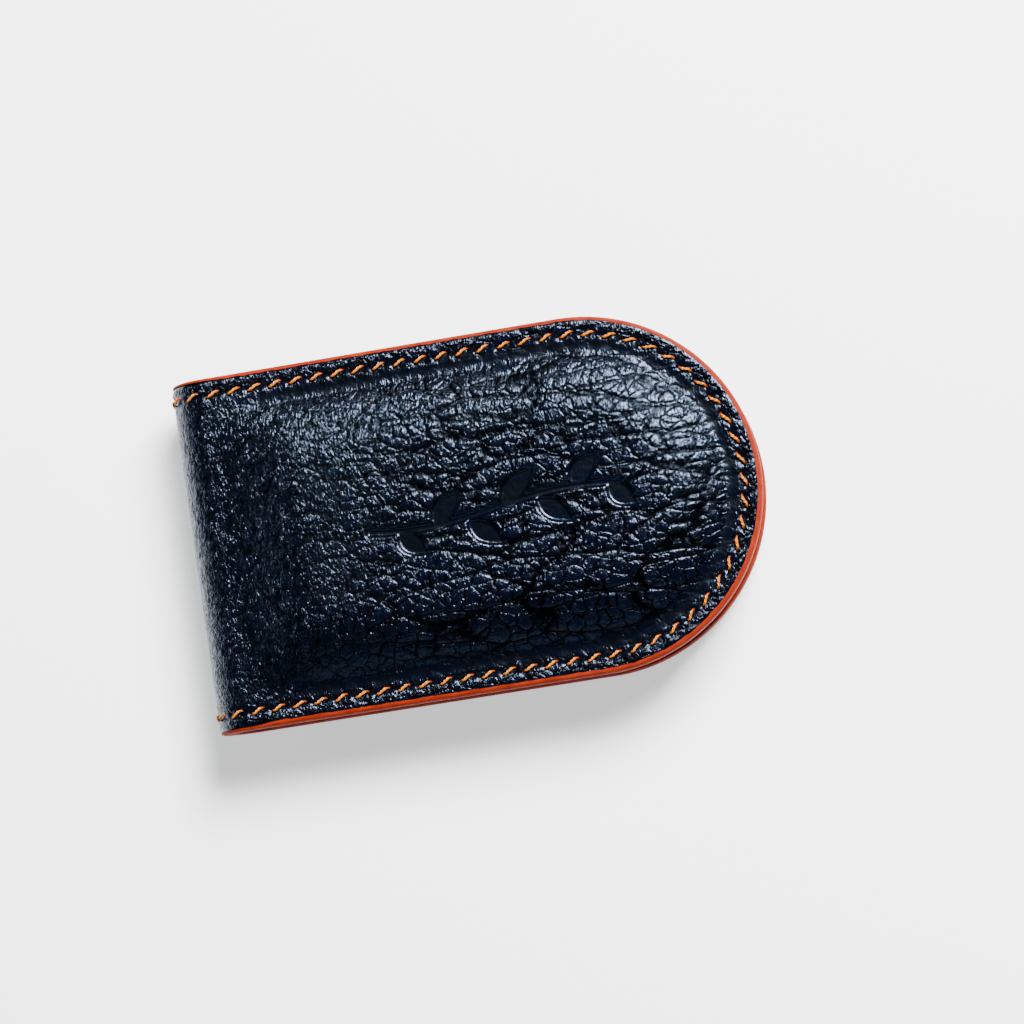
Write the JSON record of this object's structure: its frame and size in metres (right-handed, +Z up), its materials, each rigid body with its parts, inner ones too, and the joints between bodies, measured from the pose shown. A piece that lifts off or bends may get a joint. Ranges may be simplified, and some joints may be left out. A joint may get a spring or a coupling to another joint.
{
  "type": "money clip",
  "caption": "Folded leather money clip with a padded magnet pocket in each flap, a round end, contrast stitching round the rim and a painted edge.",
  "frame": {"origin": "under the middle of the closed clip's box, on the surface that the back flap's crown lies on", "axes": "+X from the fold to the round end, +Y across the clip, +Z up out of the front flap"},
  "size_m": [0.0728, 0.045, 0.0142],
  "materials": {
    "outer_leather": "pebbled full-grain leather, navy black, semi-gloss",
    "lining_leather": "smooth black lining leather, satin",
    "orange_thread": "twisted waxed polyester thread, orange",
    "edge_paint": "flexible edge paint, orange red, satin",
    "foam": "closed-cell foam, feathered at its edge",
    "board": "pressed leather-fibre board",
    "magnet_nickel": "nickel plated block magnet",
    "plate_steel": "thin cold-rolled steel"
  },
  "bodies": {
    "back_flap": {"back_outer_leather": "outer_leather", "back_foam_pad": "foam", "back_shield_plate": "plate_steel", "back_magnet_board": "board", "back_magnet_1": "magnet_nickel", "back_magnet_2": "magnet_nickel", "back_magnet_3": "magnet_nickel", "back_lining": "lining_leather", "back_needle_thread": "orange_thread", "back_bobbin_thread": "orange_thread", "back_edge_paint": "edge_paint"},
    "front_flap": {"front_outer_leather": "outer_leather", "front_foam_pad": "foam", "front_shield_plate": "plate_steel", "front_magnet_board": "board", "front_magnet_1": "magnet_nickel", "front_magnet_2": "magnet_nickel", "front_magnet_3": "magnet_nickel", "front_lining": "lining_leather", "front_needle_thread": "orange_thread", "front_bobbin_thread": "orange_thread", "front_edge_paint": "edge_paint"},
    "fold_lower": {"fold_outer_leather_1": "outer_leather", "fold_lining_1": "lining_leather"},
    "fold_upper": {"fold_outer_leather_2": "outer_leather", "fold_lining_2": "lining_leather"}
  },
  "joints": [
    {"name": "fold_hinge_1", "type": "hinge", "parent": "back_flap", "child": "fold_lower", "pos_m": [-0.03353, 0, 0.0038], "axis": [0, -1, 0], "range_deg": [-0.64, 58]},
    {"name": "fold_hinge_2", "type": "hinge", "parent": "fold_lower", "child": "fold_upper", "pos_m": [-0.03544, 0, 0.0071], "axis": [0, -1, 0], "range_deg": [-0.64, 58]},
    {"name": "fold_hinge_3", "type": "hinge", "parent": "fold_upper", "child": "front_flap", "pos_m": [-0.03353, 0, 0.0104], "axis": [0, -1, 0], "range_deg": [-0.64, 58]}
  ],
  "couplings": [
    {"joint": "fold_hinge_1", "follows": "fold_hinge_3", "ratio": 1},
    {"joint": "fold_hinge_2", "follows": "fold_hinge_3", "ratio": 1}
  ]
}
